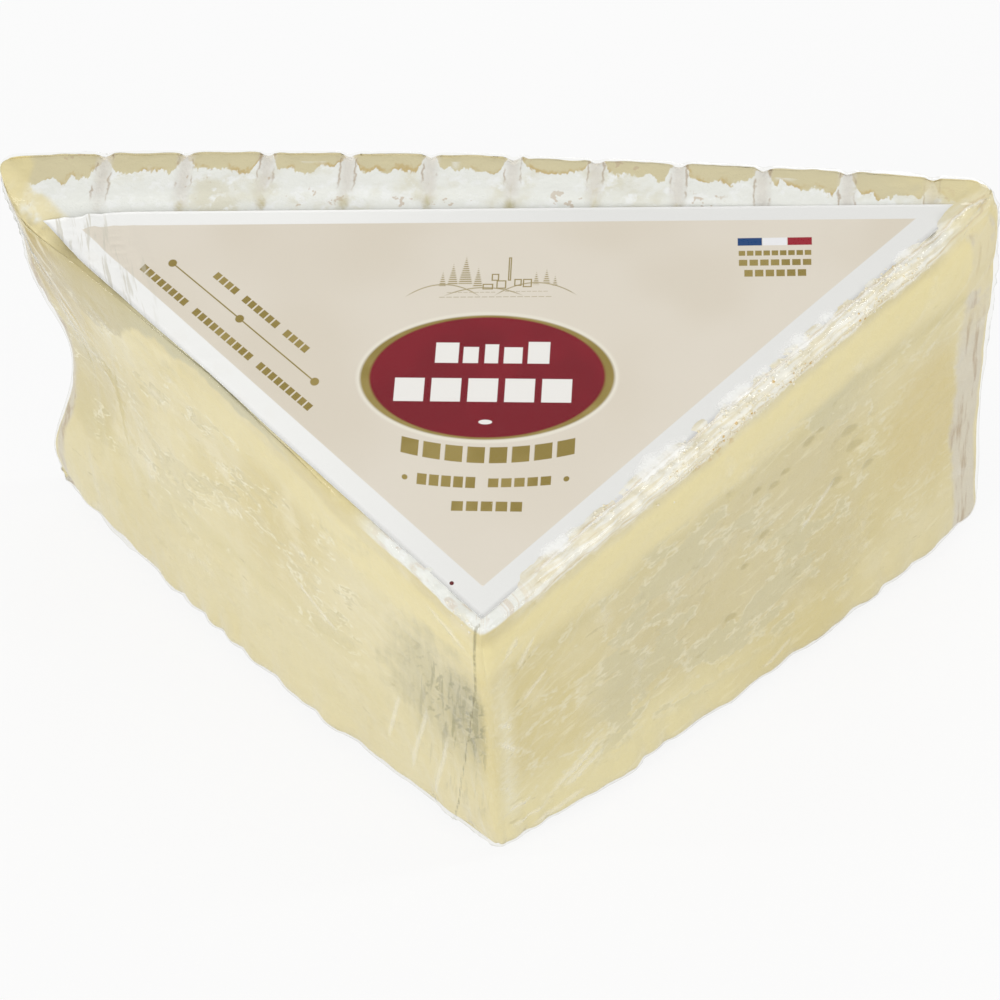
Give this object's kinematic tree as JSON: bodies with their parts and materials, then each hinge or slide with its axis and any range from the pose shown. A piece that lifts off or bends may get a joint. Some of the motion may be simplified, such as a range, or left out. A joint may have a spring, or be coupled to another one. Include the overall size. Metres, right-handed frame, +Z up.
{
  "type": "wrapped soft cheese wedge",
  "caption": "Wedge of soft white-rind cheese, cut from a square cheese, wrapped in clear film with a plain triangular paper label on its rind.",
  "frame": {"origin": "under the middle of the wrapped wedge's box, on the surface that it lies on", "axes": "+X along the rind side, +Y from the tip towards the rind side, +Z up"},
  "size_m": [0.1315, 0.0683, 0.0613],
  "materials": {
    "cheese": "soft cream-yellow paste, moist and faintly glossy, with a matt white rind",
    "label_paper": "smooth coated paper, printed beige with a white border",
    "clear_film": "clear thin food film, glossy and creased"
  },
  "bodies": {
    "root": {"cheese": "cheese", "label": "label_paper", "film": "clear_film"}
  },
  "joints": []
}
